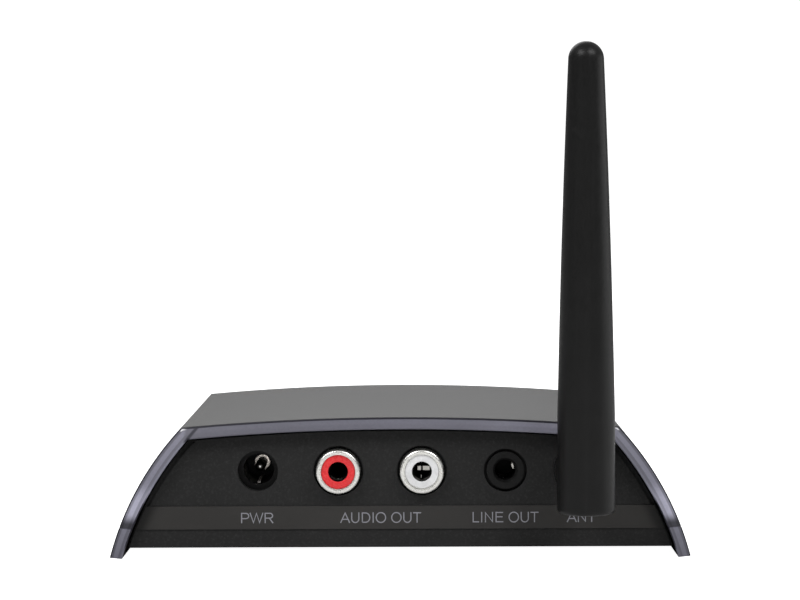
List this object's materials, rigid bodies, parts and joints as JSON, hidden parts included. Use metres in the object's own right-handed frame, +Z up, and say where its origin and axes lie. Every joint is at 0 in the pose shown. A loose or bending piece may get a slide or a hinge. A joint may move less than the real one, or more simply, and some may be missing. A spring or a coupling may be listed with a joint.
{
  "type": "bluetooth audio receiver",
  "caption": "Low arched desktop audio receiver with a smoke cover, rear sockets in a row and a tapered antenna that swivels and tilts.",
  "frame": {"origin": "middle of the whole object's footprint, on the table", "axes": "+Z up, +Y out of the socket panel, +X along the long side to the left when facing the sockets"},
  "size_m": [0.1088, 0.092, 0.0955],
  "materials": {
    "smoke_cover": "polished dark smoke plastic, satin on top",
    "panel_black": "fine texture, smoother raised band",
    "tray_black": "fine texture",
    "foot_rubber": "matt",
    "screw_steel": "zinc plated",
    "board_green": "solder mask",
    "jack_black": "satin moulding",
    "nickel": "nickel plate",
    "insert_red": "satin moulding",
    "insert_white": "satin moulding",
    "contact_metal": "tin plate",
    "antenna_black": "fine satin",
    "brass": "bright",
    "chip_black": "matt epoxy",
    "shield_metal": "tinned sheet",
    "can_metal": "can with sleeve",
    "clear": "clear moulding",
    "lead_jacket": "thin jacket",
    "button_black": "satin, shallow dish"
  },
  "bodies": {
    "housing": {"top_cover": "smoke_cover", "base_tray": "tray_black", "rear_panel": "panel_black", "front_panel": "panel_black", "rubber_feet": "foot_rubber", "cover_screws": "screw_steel", "main_board": "board_green", "board_screws": "screw_steel", "power_jack_body": "jack_black", "power_jack_pin": "nickel", "power_jack_spring": "contact_metal", "line_jack_body": "jack_black", "line_jack_contacts": "contact_metal", "antenna_bushing": "antenna_black", "bushing_nut": "nickel", "swivel_washer": "screw_steel", "antenna_lead": "lead_jacket", "lead_connector": "brass", "radio_module": "board_green", "radio_chip": "chip_black", "radio_shield": "shield_metal", "audio_converter": "chip_black", "output_amplifier": "chip_black", "voltage_regulator": "chip_black", "inductor": "chip_black", "crystal": "shield_metal", "capacitors": "can_metal", "chip_parts": "chip_black", "pair_switch": "jack_black", "light_pipe": "clear", "status_lamp": "clear", "phono_housing_red": "jack_black", "phono_housing_white": "jack_black", "phono_shell_red": "nickel", "phono_shell_white": "nickel", "phono_insert_red": "insert_red", "phono_insert_white": "insert_white", "phono_contact_red": "contact_metal", "phono_contact_white": "contact_metal"},
    "knuckle": {"antenna_knuckle": "antenna_black", "swivel_clip": "screw_steel"},
    "antenna": {"antenna_sleeve": "antenna_black", "antenna_element": "brass", "hinge_pin": "screw_steel"},
    "button": {"pair_button": "button_black", "switch_plunger": "jack_black"}
  },
  "joints": [
    {"name": "antenna_swivel", "type": "hinge", "parent": "housing", "child": "knuckle", "pos_m": [-0.034, 0.0275, 0.0161], "axis": [0, 1, 0], "range_deg": [-90, 90]},
    {"name": "antenna_tilt", "type": "hinge", "parent": "knuckle", "child": "antenna", "pos_m": [-0.034, 0.0407, 0.0161], "axis": [1, 0, 0], "range_deg": [-90, 0]},
    {"name": "pair_press", "type": "slide", "parent": "housing", "child": "button", "axis": [0, 1, 0], "range_m": [0, 0.0004], "stiffness_N_per_m": 2500}
  ]
}
